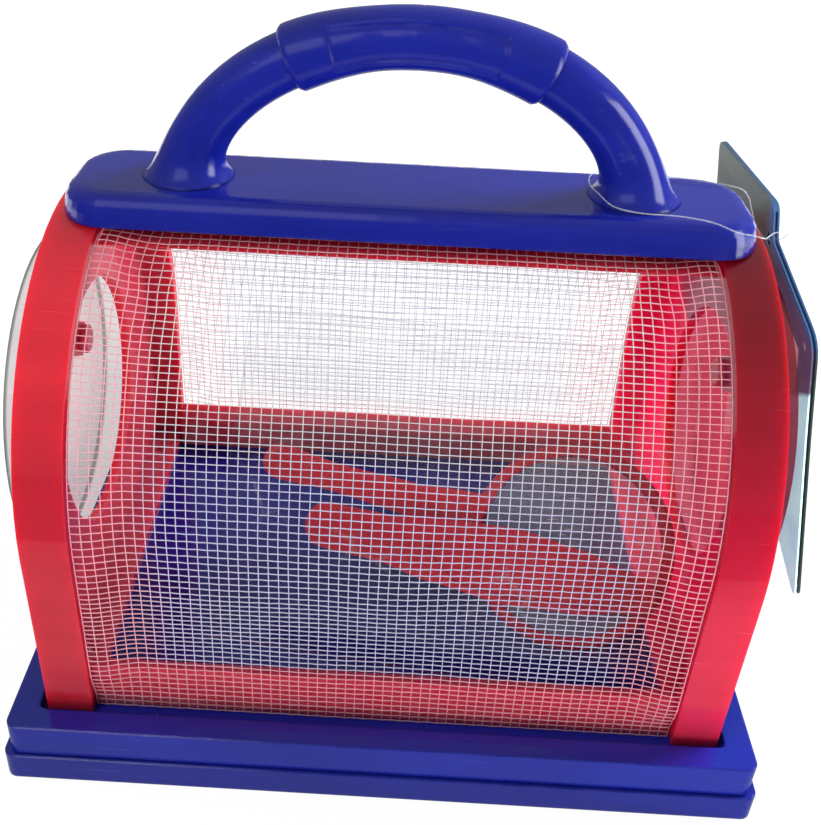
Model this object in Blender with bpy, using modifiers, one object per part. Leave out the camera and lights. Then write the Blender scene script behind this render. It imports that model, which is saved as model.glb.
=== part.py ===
"""Bug house: a child's insect cage. Red arched end frames with a round clear door on the left and a red one on the right, white net sides,
blue stepped base, blue roof cap with a carry handle, a bagged magnifier and scoop inside, a hang tag on a loop.
Metres, +Z up, +X to the right end, -Y is the front. The origin is the centre of the flat underside."""
import bpy
import bmesh
import math
from mathutils import Matrix, Vector

MM = 0.001
GAP = 0.3            # clear gap between neighbouring pieces

# base
PLINTH_X, PLINTH_Y, PLINTH_TOP = 100.2, 77.0, 8.3
PLINTH_PLATE, PLINTH_WALL = 3.0, 3.0
TRAY_X, TRAY_Y, TRAY_TOP = 98.6, 76.0, 18.5
TRAY_BOTTOM = PLINTH_TOP + GAP
RECESS_X, RECESS_Y, RECESS_FLOOR = 91.5, 69.2, 14.75
TRAY_UNDER = 12.0
BASE_CORNER = 3.0
EDGE_BEVEL = 1.8

# end frames
FRAME_IN, FRAME_OUT, FRAME_WALL = 77.9, 90.0, 3.0
ARCH_R, ARCH_Z = 67.2, 69.6
FRAME_FOOT_Y, FRAME_FOOT_Z = 66.3, RECESS_FLOOR + GAP
BAND = 4.0
HOLE_R, HOLE_Z = 35.9, 72.6
EAR_W = 9.6
PIVOT_Y, PIVOT_Z = -9.0, 97.9
EAR_ROOT_Y, EAR_ROOT_Z = -26.0, 107.5

# rails and nets
RAIL_X = FRAME_IN - GAP
RAIL_OUT, RAIL_IN = 63.2, 57.1
RAIL_HIGH, RAIL_LOW = 29.5, 26.3
TOP_RAIL = ((17.2, 130.4), (12.0, 128.3), (6.0, 128.3), (6.0, 132.4), (12.0, 131.6), (16.6, 130.65))
NET_R, NET_T = 63.85, 0.6
NET_X = FRAME_IN - GAP
NET_END_Y, NET_FOOT_Z = 6.5, 15.3

# roof cap
CAP_X, CAP_Y, CAP_CORNER = 88.0, 18.4, 12.0
CAP_LOW, CAP_HIGH = 135.55, 143.65
CAP_STEPS = ((0.0, 135.55), (0.3, 138.6), (0.8, 140.8), (1.7, 142.4), (3.0, 143.3), (4.6, 143.65))   # inset, height
CAP_SADDLE_R = ARCH_R + 0.4
CAP_POCKET_X, CAP_POCKET_Y, CAP_PLATE = 72.0, 14.0, 141.2

# handle: half an ellipse
HANDLE_A, HANDLE_B, HANDLE_Z0 = 57.5, 41.8, 139.0
HANDLE_R, FLARE, FLARE_H = 7.1, 0.70, 4.6
GRIP_R, GRIP_BORE = 8.2, 7.4
STEP_DEG, FIRST_DEG, GRIP_DEG = 4, 2, 58

# doors and pins
DOOR_R, DOOR_Z, DOOR_WALL = 46.6, 75.2, 2.0
DOOR_IN, DOOR_OUT = 90.4, 98.6
BOSS_R = 5.0
PIN_R, PIN_FIT = 1.5, 0.06
PIN_HEAD_R, PIN_CAP_R = 4.0, 3.5

# screws
SCREW_R, SCREW_HEAD_R, SCREW_HOLE_R = 1.5, 3.0, 1.8
BASE_SCREW_X, BASE_SCREW_Y = 83.5, 48.0
CAP_SCREW_X, HANDLE_SCREW_X = 82.0, 57.3

# the bagged tools lie in a leaning plane: s runs to the right, t up the slope, n out of the slope to the front
TOOL_YAW, TOOL_LEAN = math.radians(8.0), math.radians(50.0)
TOOL_FOOT = Vector((47.75, -50.92, 15.3))
S_DIR = Vector((math.cos(TOOL_YAW), -math.sin(TOOL_YAW), 0.0))
T_DIR = Vector((math.sin(TOOL_YAW) * math.cos(TOOL_LEAN), math.cos(TOOL_YAW) * math.cos(TOOL_LEAN), math.sin(TOOL_LEAN)))
N_DIR = S_DIR.cross(T_DIR)
LENS_S, LENS_T, LENS_N = 0.4, 41.4, -7.8
RING_R, RING_BORE, RING_H = 29.6, 26.2, 6.0
MAG_TILT = math.radians(8.0)
MAG_LENGTH, MAG_THICK = 95.0, 5.4
MAG_WIDTHS = ((25.0, 8.0), (32.0, 7.0), (48.0, 5.0), (72.0, 4.2), (90.0, 5.3))   # along the handle, half width
LENS_R, LENS_EDGE, LENS_MID = 25.9, 1.8, 4.6
SCOOP_S, SCOOP_T, SCOOP_N = -77.4, 37.6, -2.9
SCOOP_TILT, SCOOP_LENGTH, SCOOP_THICK = math.radians(-4.3), 103.0, 2.6
SCOOP_WIDTHS = ((0.0, 6.6), (22.0, 6.9), (40.0, 9.4), (62.0, 11.0), (80.0, 9.2), (96.0, 5.8))
BAG_LEFT, BAG_TOP, BAG_T = -103.0, 100.0, 0.3

# hang tag: a folded card in a leaning plane, and its loop
TAG_HOLE = Vector((98.0, 11.8, 128.6))
TAG_LEAN, TAG_TURN = 0.135, 0.06
TAG_LEAF, TAG_OPEN, TAG_SPINE, TAG_HOLE_R = 0.45, 0.7, 2.0, 2.0
TAG_OUTLINE = ((60.8, 139.0), (10.0, 139.4), (8.2, 129.6), (-12.4, 122.6), (-26.0, 118.0), (-29.5, 91.0), (-37.5, 41.5), (57.0, 93.6), (60.0, 122.0))
LOOP_R = 0.45
LOOP_PATH = ((45.2, -1.0, 146.9), (47.2, -6.4, 146.2), (50.4, -10.4, 144.9), (57.0, -12.7, 144.5), (66.3, -13.2, 144.45), (74.0, -15.2, 144.1),
             (80.0, -16.5, 142.4), (84.3, -15.8, 141.5), (87.7, -13.0, 139.7), (91.0, -5.8, 136.5), (94.4, 1.2, 134.2), (97.0, 4.8, 133.6),
             (99.0, 5.2, 133.5), (101.0, 6.6, 132.8), (101.3, 8.6, 131.2), (101.1, 10.8, 129.2), (99.4, 11.7, 128.6), (96.8, 11.9, 128.9), (93.6, 11.4, 132.6),
             (91.2, 10.4, 137.4), (89.2, 9.7, 141.4), (86.0, 9.5, 143.7), (77.0, 11.0, 144.4), (68.4, 12.9, 144.45), (60.0, 12.0, 144.9),
             (52.0, 10.6, 145.8), (46.9, 6.6, 146.6))

PLASTIC_BLUE = (0.014, 0.014, 0.30, 1.0)
PLASTIC_RED = (0.55, 0.018, 0.040, 1.0)
NET_WHITE = (0.80, 0.78, 0.78, 1.0)
CLEAR = (0.85, 0.87, 0.88, 1.0)
STEEL = (0.50, 0.50, 0.52, 1.0)
CARD = (0.25, 0.27, 0.33, 1.0)

for old in list(bpy.data.objects):
    bpy.data.objects.remove(old, do_unlink=True)
scene = bpy.context.scene
PARTS = bpy.data.collections.new("bug_house")
CUTTERS = bpy.data.collections.new("cutters")
scene.collection.children.link(PARTS)
scene.collection.children.link(CUTTERS)


def baked(obj, matrix=None, seam=1e-6):
    """The evaluated mesh of obj in world coordinates, seams welded and faces turned out. obj is removed."""
    bpy.context.view_layer.update()
    deps = bpy.context.evaluated_depsgraph_get()
    mesh = bpy.data.meshes.new_from_object(obj.evaluated_get(deps))
    mesh.transform(obj.matrix_world if matrix is None else matrix @ obj.matrix_world)
    bm = bmesh.new()
    bm.from_mesh(mesh)
    bmesh.ops.remove_doubles(bm, verts=bm.verts, dist=seam)
    bmesh.ops.dissolve_degenerate(bm, edges=bm.edges, dist=1e-7)
    bmesh.ops.recalc_face_normals(bm, faces=bm.faces)
    bm.to_mesh(mesh)
    bm.free()
    bpy.data.objects.remove(obj, do_unlink=True)
    return mesh


def curve_object(points, cyclic, flat):
    data = bpy.data.curves.new("outline", "CURVE")
    data.dimensions = "2D" if flat else "3D"
    for ring in points:
        spline = data.splines.new("POLY")
        spline.points.add(len(ring) - 1)
        for spot, p in zip(spline.points, ring):
            spot.co = (p[0] * MM, p[1] * MM, (p[2] * MM if len(p) > 2 else 0.0), 1.0)
        spline.use_cyclic_u = cyclic
    obj = bpy.data.objects.new("outline", data)
    scene.collection.objects.link(obj)
    return obj


AXES = {"X": Matrix(((0, 0, 1, 0), (1, 0, 0, 0), (0, 1, 0, 0), (0, 0, 0, 1))),
        "Z": Matrix.Identity(4)}


def prism(rings, lo, hi, axis="Z", frame=None):
    """A flat outline (with holes when there is more than one ring) drawn out from lo to hi."""
    obj = curve_object(rings, True, True)
    obj.data.fill_mode = "BOTH"
    obj.data.extrude = abs(hi - lo) / 2 * MM
    shift = Matrix.Translation((0, 0, (lo + hi) / 2 * MM))
    return baked(obj, (frame if frame is not None else AXES[axis]) @ shift)


def turned(profile, steps, frame):
    """A profile of (radius, height), top to bottom, turned about the local Z axis."""
    mesh = bpy.data.meshes.new("profile")
    closed = profile[0][0] > 0
    edges = [(i, i + 1) for i in range(len(profile) - 1)] + ([(len(profile) - 1, 0)] if closed else [])
    mesh.from_pydata([(r * MM, 0.0, z * MM) for r, z in profile], edges, [])
    obj = bpy.data.objects.new("profile", mesh)
    scene.collection.objects.link(obj)
    screw = obj.modifiers.new("turn", "SCREW")
    screw.axis = "Z"
    screw.angle = 2 * math.pi
    screw.steps = screw.render_steps = steps
    screw.use_merge_vertices = True
    screw.merge_threshold = 1e-6
    return baked(obj, frame)


def tube(points, radius, factors=None, cyclic=False, resolution=3):
    obj = curve_object([points], cyclic, False)
    obj.data.bevel_depth = radius * MM
    obj.data.bevel_resolution = resolution
    obj.data.use_fill_caps = not cyclic
    obj.data.twist_mode = "Z_UP" if not cyclic else "MINIMUM"
    if factors:
        for spot, k in zip(obj.data.splines[0].points, factors):
            spot.radius = k
    return baked(obj)


def material(name, colour, roughness, transmission=0.0):
    mat = bpy.data.materials.get(name)
    if mat is None:
        mat = bpy.data.materials.new(name)
        mat.use_nodes = True
        node = mat.node_tree.nodes["Principled BSDF"]
        node.inputs["Base Color"].default_value = colour
        node.inputs["Roughness"].default_value = roughness
        node.inputs["Transmission Weight"].default_value = transmission
        mat.diffuse_color = colour
    return mat


def piece(name, mesh, look, smooth=True, origin=None):
    """One named sub-part with its own material."""
    obj = bpy.data.objects.new(name, mesh)
    mesh.name = name
    PARTS.objects.link(obj)
    colour, rough, through = look
    mesh.materials.clear()
    mesh.materials.append(material(name, colour, rough, through))
    if smooth:
        mesh.shade_smooth()
        mesh.set_sharp_from_angle(angle=math.radians(40))
    if origin is not None:
        spot = Vector(origin) * MM
        mesh.transform(Matrix.Translation(-spot))
        obj.location = spot
    return obj


def cutter(name, mesh):
    obj = bpy.data.objects.new(name, mesh)
    CUTTERS.objects.link(obj)
    obj.hide_render = True
    obj.display_type = "WIRE"
    return obj


def boolean(obj, other, operation="DIFFERENCE"):
    mod = obj.modifiers.new(operation.lower(), "BOOLEAN")
    mod.operation = operation
    mod.solver = "EXACT"
    mod.object = other


def bevel(obj, width, segments=2, angle=50):
    mod = obj.modifiers.new("edge", "BEVEL")
    mod.width = width * MM
    mod.segments = segments
    mod.limit_method = "ANGLE"
    mod.angle_limit = math.radians(angle)


def circle(x, y, r, steps=32):
    return [(x + r * math.cos(2 * math.pi * i / steps), y + r * math.sin(2 * math.pi * i / steps)) for i in range(steps)]


def rounded_rect(hx, hy, r, steps=6):
    points = []
    for cx, cy, start in ((hx - r, hy - r, 0), (r - hx, hy - r, 90), (r - hx, r - hy, 180), (hx - r, r - hy, 270)):
        for i in range(steps + 1):
            a = math.radians(start + 90 * i / steps)
            points.append((cx + r * math.cos(a), cy + r * math.sin(a)))
    return points


def box(x0, x1, y0, y1, z0, z1):
    return prism([[(x0, y0), (x1, y0), (x1, y1), (x0, y1)]], z0, z1)


def fillet(points, radii, steps=4):
    """An outline with every corner rounded."""
    out = []
    for i, p in enumerate(points):
        p = Vector(p)
        a = (Vector(points[i - 1]) - p)
        b = (Vector(points[(i + 1) % len(points)]) - p)
        cut = min(radii[i], a.length * 0.45, b.length * 0.45)
        start, end = p + a.normalized() * cut, p + b.normalized() * cut
        for k in range(steps + 1):
            t = k / steps
            out.append(tuple((1 - t) ** 2 * start + 2 * t * (1 - t) * p + t * t * end))
    return out


def arch(r, foot_y, foot_z, steps=36):
    points = [(-foot_y, foot_z)]
    points += [(-r * math.cos(math.pi * i / steps), ARCH_Z + r * math.sin(math.pi * i / steps)) for i in range(steps + 1)]
    return points + [(foot_y, foot_z)]


def smooth_at(table, x):
    """A half width eased between the stations of a table."""
    if x <= table[0][0]:
        return table[0][1]
    for (x0, w0), (x1, w1) in zip(table, table[1:]):
        if x <= x1:
            t = (x - x0) / (x1 - x0)
            return w0 + (w1 - w0) * t * t * (3 - 2 * t)
    return table[-1][1]


BLUE = (PLASTIC_BLUE, 0.25, 0.0)
RED = (PLASTIC_RED, 0.25, 0.0)
WHITE = (NET_WHITE, 0.5, 0.0)
GLASSY = (CLEAR, 0.08, 0.9)
METAL = (STEEL, 0.35, 0.0)
PAPER = (CARD, 0.5, 0.0)

# ------------------------------------------------------------------ base
SCREW_SPOTS = [(x, y) for x in (-BASE_SCREW_X, BASE_SCREW_X) for y in (-BASE_SCREW_Y, BASE_SCREW_Y)]
plinth = piece("base_plinth", prism([rounded_rect(PLINTH_X, PLINTH_Y, BASE_CORNER)], 0.0, PLINTH_TOP), BLUE)
bevel(plinth, EDGE_BEVEL, 3)
posts = [circle(x, y, 5.0, 20) for x, y in SCREW_SPOTS]
pocket_x, pocket_y = PLINTH_X - PLINTH_WALL, PLINTH_Y - PLINTH_WALL
boolean(plinth, cutter("cut_plinth_pocket", prism([rounded_rect(pocket_x, pocket_y, 2.0, 3)] + posts, PLINTH_PLATE, PLINTH_TOP + 4)))

tray = piece("base_tray", prism([rounded_rect(TRAY_X, TRAY_Y, BASE_CORNER)], TRAY_BOTTOM, TRAY_TOP), BLUE)
bevel(tray, EDGE_BEVEL, 3)
boolean(tray, cutter("cut_tray_recess", prism([rounded_rect(RECESS_X, RECESS_Y, 2.0, 3)], RECESS_FLOOR, TRAY_TOP + 5)))
under_x, under_y = TRAY_X - PLINTH_WALL, TRAY_Y - PLINTH_WALL
boolean(tray, cutter("cut_tray_under", prism([rounded_rect(under_x, under_y, 2.0, 3)] + posts, TRAY_BOTTOM - 5, TRAY_UNDER)))

hole_cutters = [cutter("cut_base_screw_hole_%d" % i, prism([circle(x, y, SCREW_HOLE_R, 16)], -5, 25)) for i, (x, y) in enumerate(SCREW_SPOTS)]
for i, (x, y) in enumerate(SCREW_SPOTS):
    boolean(plinth, hole_cutters[i])
    boolean(tray, hole_cutters[i])
    boolean(plinth, cutter("cut_base_screw_seat_%d" % i, prism([circle(x, y, SCREW_HEAD_R + 0.5, 20)], -5, 4.6)))

# ------------------------------------------------------------------ end frames, doors, pins
cap_screw_cut = {}
for side, word in ((-1, "left"), (1, "right")):
    def at(a, b):
        return sorted((side * a, side * b))

    frame = piece("end_frame_" + word, prism([arch(ARCH_R, FRAME_FOOT_Y, FRAME_FOOT_Z)], *at(FRAME_IN, FRAME_OUT), axis="X"), RED)
    inner = arch(ARCH_R - BAND, FRAME_FOOT_Y - BAND, FRAME_FOOT_Z + BAND)
    boolean(frame, cutter("cut_frame_pocket_" + word, prism([inner], *at(FRAME_IN - 5, FRAME_OUT - FRAME_WALL), axis="X")))
    boolean(frame, cutter("cut_frame_hole_" + word, prism([circle(0, HOLE_Z, HOLE_R, 64)], *at(FRAME_IN - 5, FRAME_OUT + 5), axis="X")))
    along = Vector((EAR_ROOT_Y - PIVOT_Y, EAR_ROOT_Z - PIVOT_Z)).normalized()
    lead = math.degrees(math.atan2(along.y, along.x))
    ear = [(PIVOT_Y + EAR_W / 2 * math.cos(math.radians(lead + 90 + 180 * i / 16)),
            PIVOT_Z + EAR_W / 2 * math.sin(math.radians(lead + 90 + 180 * i / 16))) for i in range(17)]
    across = Vector((-along.y, along.x)) * EAR_W / 2
    ear += [(EAR_ROOT_Y - across.x, EAR_ROOT_Z - across.y), (EAR_ROOT_Y + across.x, EAR_ROOT_Z + across.y)]
    boolean(frame, cutter("add_frame_ear_" + word, prism([ear], *at(FRAME_OUT - FRAME_WALL + 0.3, FRAME_OUT - 0.2), axis="X")), "UNION")
    pin_cut = cutter("cut_pin_" + word, prism([circle(PIVOT_Y, PIVOT_Z, PIN_R + PIN_FIT, 32)], *at(FRAME_IN - 5, DOOR_OUT + 5), axis="X"))
    boolean(frame, pin_cut)
    for i, (x, y) in enumerate(SCREW_SPOTS):
        if x * side > 0:
            boolean(frame, hole_cutters[i])
    cap_screw_cut[side] = cutter("cut_cap_screw_" + word, prism([circle(side * CAP_SCREW_X, 0, SCREW_HOLE_R, 16)], 128, 141.6))
    boolean(frame, cap_screw_cut[side])

    door = piece("door_" + word, prism([circle(0, DOOR_Z, DOOR_R, 64)], *at(DOOR_IN, DOOR_OUT), axis="X"), GLASSY if side < 0 else RED,
                 origin=None)
    bevel(door, 0.9)
    hollow = prism([circle(0, DOOR_Z, DOOR_R - DOOR_WALL, 64), circle(PIVOT_Y, PIVOT_Z, BOSS_R, 28)], *at(DOOR_IN - 4, DOOR_OUT - DOOR_WALL), axis="X")
    boolean(door, cutter("cut_door_hollow_" + word, hollow))
    boolean(door, pin_cut)

    pin_frame = Matrix.Translation((0, PIVOT_Y * MM, PIVOT_Z * MM)) @ Matrix.Rotation(math.pi / 2 * side, 4, "Y")
    pin = turned([(0, 100.3), (2.2, 100.3), (PIN_CAP_R, 99.7), (PIN_CAP_R, 98.9), (PIN_R, 98.9), (PIN_R, 86.9),
                  (PIN_HEAD_R, 86.9), (PIN_HEAD_R, 85.6), (PIN_HEAD_R - 0.6, 85.2), (0, 85.2)], 32, pin_frame)
    piece("door_pin_" + word, pin, (PLASTIC_RED, 0.3, 0.0))

# ------------------------------------------------------------------ rails and nets
for side, word in ((-1, "front"), (1, "rear")):
    low = [(side * y, z) for y, z in ((RAIL_IN, FRAME_FOOT_Z), (RAIL_OUT, FRAME_FOOT_Z), (RAIL_OUT, RAIL_HIGH), (RAIL_IN, RAIL_LOW))]
    rail = piece("bottom_rail_" + word, prism([low], -RAIL_X, RAIL_X, axis="X"), RED)
    bevel(rail, 0.5, 2)
    high = [(side * y, z) for y, z in TOP_RAIL]
    piece("top_rail_" + word, prism([high], -RAIL_X, RAIL_X, axis="X"), RED)

    stop = math.acos(NET_END_Y / NET_R)
    path = [(NET_R, NET_FOOT_Z), (NET_R, 32.0), (NET_R, 50.0)]
    path += [(NET_R * math.cos(stop * i / 14), ARCH_Z + NET_R * math.sin(stop * i / 14)) for i in range(15)]
    columns = 7
    verts, faces = [], []
    for y, z in path:
        for c in range(columns):
            verts.append(((2 * c / (columns - 1) - 1) * NET_X * MM, side * y * MM, z * MM))
    for r in range(len(path) - 1):
        for c in range(columns - 1):
            a = r * columns + c
            faces.append((a, a + 1, a + columns + 1, a + columns))
    sheet = bpy.data.meshes.new("net")
    sheet.from_pydata(verts, [], faces)
    obj = bpy.data.objects.new("net", sheet)
    scene.collection.objects.link(obj)
    solid = obj.modifiers.new("thick", "SOLIDIFY")
    solid.thickness = NET_T * MM
    solid.offset = 0.0
    solid.use_even_offset = True
    piece("net_" + word, baked(obj), WHITE)

# ------------------------------------------------------------------ roof cap
rings = [[(x, y, z) for x, y in rounded_rect(CAP_X - inset, CAP_Y - inset, CAP_CORNER - inset * 0.4, 8)] for inset, z in CAP_STEPS]
count = len(rings[0])
verts = [(x * MM, y * MM, z * MM) for ring in rings for x, y, z in ring]
faces = [tuple(reversed(range(count))), tuple(range((len(rings) - 1) * count, len(rings) * count))]
for k in range(len(rings) - 1):
    for i in range(count):
        j = (i + 1) % count
        faces.append((k * count + i, k * count + j, (k + 1) * count + j, (k + 1) * count + i))
slab = bpy.data.meshes.new("cap")
slab.from_pydata(verts, [], faces)
cap = piece("roof_cap", slab, BLUE)
saddle = circle(0, ARCH_Z, CAP_SADDLE_R, 144)
boolean(cap, cutter("cut_cap_saddle", prism([saddle], -CAP_X - 10, CAP_X + 10, axis="X")))
boolean(cap, cutter("cut_cap_pocket", prism([rounded_rect(CAP_POCKET_X, CAP_POCKET_Y, 4.0, 4)], CAP_LOW - 10, CAP_PLATE)))
handle_holes = [cutter("cut_handle_screw_%d" % i, prism([circle(side * HANDLE_SCREW_X, 0, SCREW_HOLE_R, 16)], 138, 151.6))
                for i, side in enumerate((-1, 1))]
for side in (-1, 1):
    boolean(cap, cap_screw_cut[side])
for hole in handle_holes:
    boolean(cap, hole)

# ------------------------------------------------------------------ handle and grip
def bow(deg):
    a = math.radians(deg)
    return (HANDLE_A * math.cos(a), 0.0, HANDLE_Z0 + HANDLE_B * math.sin(a))


turns = list(range(FIRST_DEG, 180 - FIRST_DEG + 1, STEP_DEG))
swell = [1 + FLARE * math.exp(-max(0.0, bow(d)[2] - CAP_HIGH) / FLARE_H) for d in turns]
handle = piece("carry_handle", tube([bow(d) for d in turns], HANDLE_R, swell), BLUE)
boolean(handle, cutter("cut_handle_foot", box(-90, 90, -30, 30, 120, CAP_HIGH + GAP)))
for hole in handle_holes:
    boolean(handle, hole)
held = [d for d in turns if GRIP_DEG <= d <= 180 - GRIP_DEG]
grip = piece("handle_grip", tube([bow(d) for d in held], GRIP_R), BLUE)
more = [d for d in turns if GRIP_DEG - 9 <= d <= 180 - GRIP_DEG + 9]
boolean(grip, cutter("cut_grip_bore", tube([bow(d) for d in more], GRIP_BORE)))

# ------------------------------------------------------------------ screws
def screw(name, x, y, head_low, head_high, tip):
    up = Matrix.Translation((x * MM, y * MM, 0))
    profile = [(0, tip), (SCREW_R * 0.55, tip), (SCREW_R, tip - 1.2), (SCREW_R, head_high), (SCREW_HEAD_R, head_high),
               (SCREW_HEAD_R, head_low + 0.5), (SCREW_HEAD_R - 0.7, head_low), (0, head_low)]
    piece(name, turned(profile, 20, up), METAL)


for i, (x, y) in enumerate(SCREW_SPOTS):
    screw("base_screw_%d" % (i + 1), x, y, 2.4, 4.3, 18.6)
for i, side in enumerate((-1, 1)):
    screw("cap_screw_%d" % (i + 1), side * CAP_SCREW_X, 0.0, 130.6, 132.5, 141.2)
    screw("handle_screw_%d" % (i + 1), side * HANDLE_SCREW_X, 0.0, 139.0, 140.9, 151.2)

# ------------------------------------------------------------------ tools in the bag
def tool_spot(s, t, n):
    return TOOL_FOOT + S_DIR * s + T_DIR * t + N_DIR * n


def tool_frame(s, t, n, tilt, flip=1.0):
    """A frame whose X runs along the tool, Y across it in the leaning plane and Z out of the plane."""
    x = (S_DIR * math.cos(tilt) + T_DIR * math.sin(tilt)) * flip
    y = N_DIR.cross(x)
    rot = Matrix((x, y, N_DIR)).transposed().to_4x4()
    return Matrix.Translation(tool_spot(s, t, n) * MM) @ rot


mag = tool_frame(LENS_S, LENS_T, LENS_N, -MAG_TILT, -1.0)
half = RING_H / 2
ring = [(RING_BORE, half - 0.8), (RING_BORE + 0.8, half), (RING_R - 1.0, half), (RING_R, half - 1.0), (RING_R, 1.0 - half), (RING_R - 1.0, -half),
        (RING_BORE + 0.8, -half), (RING_BORE, 0.8 - half)]
mag_frame = piece("magnifier_frame", turned(ring, 56, mag), RED)
stations = [MAG_WIDTHS[0][0] + 2.0 + i * (MAG_LENGTH - 5.0 - MAG_WIDTHS[0][0] - 2.0) / 16 for i in range(17)]
edge = [(x, smooth_at(MAG_WIDTHS, x)) for x in stations]
tip_r = edge[-1][1]
tip = [(stations[-1] + 5.0 * math.sin(math.pi * i / 10), tip_r * math.cos(math.pi * i / 10)) for i in range(1, 10)]
grip_line = edge + tip + [(x, -w) for x, w in reversed(edge)]
boolean(mag_frame, cutter("add_magnifier_handle", prism([grip_line], -MAG_THICK / 2, MAG_THICK / 2, frame=mag)), "UNION")
rim, crown = LENS_EDGE / 2, LENS_MID / 2
front = [(LENS_R * k / 5, rim + (crown - rim) * (1 - (k / 5) ** 2)) for k in range(6)]
piece("magnifier_lens", turned(front + [(r, -z) for r, z in reversed(front)], 56, mag), GLASSY)

scoop_at = tool_frame(SCOOP_S, SCOOP_T, SCOOP_N, SCOOP_TILT)
stations = [6.0 + i * (SCOOP_LENGTH - 13.0) / 20 for i in range(21)]
edge = [(x, smooth_at(SCOOP_WIDTHS, x)) for x in stations]
back = [(6.0 - 6.0 * math.sin(math.pi * i / 10), -edge[0][1] * math.cos(math.pi * i / 10)) for i in range(1, 10)]
nose = [(stations[-1] + 7.0 * math.sin(math.pi * i / 10), edge[-1][1] * math.cos(math.pi * i / 10)) for i in range(1, 10)]
outline = edge + nose + [(x, -w) for x, w in reversed(edge)] + back
scoop = piece("scoop", prism([outline], -SCOOP_THICK / 2, SCOOP_THICK / 2, frame=scoop_at), RED)
dish = [(x, w - 2.0) for x, w in edge if x > 42.0] + [(SCOOP_LENGTH - 3.0, 0.0)] + [(x, 2.0 - w) for x, w in reversed(edge) if x > 42.0] + [(36.0, 0.0)]
boolean(scoop, cutter("cut_scoop_dish", prism([dish], SCOOP_THICK / 2 - 1.2, SCOOP_THICK, frame=scoop_at)))


def bag_right(t):
    k = max(0.0, min(1.0, (t - 4.0) / 12.0))
    return 27.5 + 7.5 * k * k * (3 - 2 * k) - 0.055 * max(0.0, t - 16.0)


def bag_depth(t, s, right):
    """How far the rear film stands behind the front film: it is puffed out and rests on the floor."""
    ends = math.sqrt(max(0.0, min(1.0, (s - BAG_LEFT) / 8.0)) * max(0.0, min(1.0, (right - s) / 16.0)))
    return 0.9 * min(1.0, t / 3.0) + ends * min(1.10 * t, 0.42 * (BAG_TOP - t))


across = [0.0, 0.03, 0.06, 0.15, 0.28, 0.42, 0.56, 0.70, 0.84, 0.94, 0.97, 1.0]
heights = [100.0, 85.0, 68.0, 50.0, 34.0, 20.0, 9.0, 0.0]
line = [(t, False) for t in heights] + [(t, True) for t in (4.0, 9.0, 16.0, 23.0, 28.0, 34.0, 45.0, 60.0, 78.0, 100.0)]
verts, faces = [], []
for t, rear in line:
    right = bag_right(t)
    for k in across:
        s = BAG_LEFT + k * (right - BAG_LEFT)
        verts.append(tool_spot(s, t, -bag_depth(t, s, right) if rear else 0.0) * MM)
n = len(across)
for r in range(len(line) - 1):
    for c in range(n - 1):
        a = r * n + c
        faces.append((a, a + 1, a + n + 1, a + n))
film = bpy.data.meshes.new("bag")
film.from_pydata(verts, [], faces)
obj = bpy.data.objects.new("bag", film)
scene.collection.objects.link(obj)
solid = obj.modifiers.new("thick", "SOLIDIFY")
solid.thickness = BAG_T * MM
solid.offset = 0.0
piece("tool_bag", baked(obj), GLASSY)

# ------------------------------------------------------------------ hang tag and loop
turn = Vector((-TAG_TURN, 1.0, 0.0)).normalized()
rise = Vector((-TAG_LEAN, 0.0, 1.0))
rise = (rise - turn * rise.dot(turn)).normalized()
out = turn.cross(rise)
tag_at = Matrix.Translation(TAG_HOLE * MM) @ Matrix((turn, rise, out)).transposed().to_4x4()
card = fillet([(y - TAG_HOLE.y, z - TAG_HOLE.z) for y, z in TAG_OUTLINE], [3.0, 3.0, 1.5, 6.0, 5.0, 8.0, 4.0, 9.0, 8.0])
thick = 2 * TAG_LEAF + TAG_OPEN
tag = piece("hang_tag", prism([card, circle(0, 0, TAG_HOLE_R, 24)], 0.0, thick, frame=tag_at), PAPER, smooth=False)
fold = TAG_OUTLINE[1][1] - TAG_HOLE.z - TAG_SPINE
slot = [(-70.0, -110.0), (70.0, -110.0), (70.0, fold), (-70.0, fold)]
boolean(tag, cutter("cut_tag_fold", prism([slot], TAG_LEAF, TAG_LEAF + TAG_OPEN, frame=tag_at)))
piece("tag_loop", tube(LOOP_PATH, LOOP_R, cyclic=True, resolution=1), GLASSY)
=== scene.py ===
"""Looks of the bug house: thread nets, wrinkled polybag, moulded plastics, printed card and the studio around them.
Metres, +Z up, +X to the right end, -Y is the front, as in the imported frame."""
import math

import bmesh
import bpy
import numpy as np
from mathutils import Matrix, Vector, noise


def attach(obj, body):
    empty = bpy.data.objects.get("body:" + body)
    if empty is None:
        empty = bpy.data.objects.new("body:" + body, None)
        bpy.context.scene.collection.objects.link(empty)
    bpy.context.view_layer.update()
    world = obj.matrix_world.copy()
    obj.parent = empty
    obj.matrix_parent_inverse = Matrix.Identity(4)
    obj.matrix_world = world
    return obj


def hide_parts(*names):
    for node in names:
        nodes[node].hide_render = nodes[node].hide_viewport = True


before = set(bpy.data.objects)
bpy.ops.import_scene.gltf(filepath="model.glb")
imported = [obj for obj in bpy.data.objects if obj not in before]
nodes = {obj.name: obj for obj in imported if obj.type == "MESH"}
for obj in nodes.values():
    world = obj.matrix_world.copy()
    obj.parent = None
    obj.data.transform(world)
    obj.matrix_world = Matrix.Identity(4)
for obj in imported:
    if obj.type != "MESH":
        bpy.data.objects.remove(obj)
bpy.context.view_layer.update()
scene = bpy.context.scene
MM = 0.001

# ------------------------------------------------------------------ camera
RIGHT = Vector((0.99843262, 0.04040843, 0.03872291))
DOWN = Vector((0.05442876, -0.53996078, -0.83992849))
AHEAD = Vector((-0.01303134, 0.84071964, -0.54131384))
FOCAL, CENTRE, SIZE = 1082.13, (377.418, 386.575), (821, 825)

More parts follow.
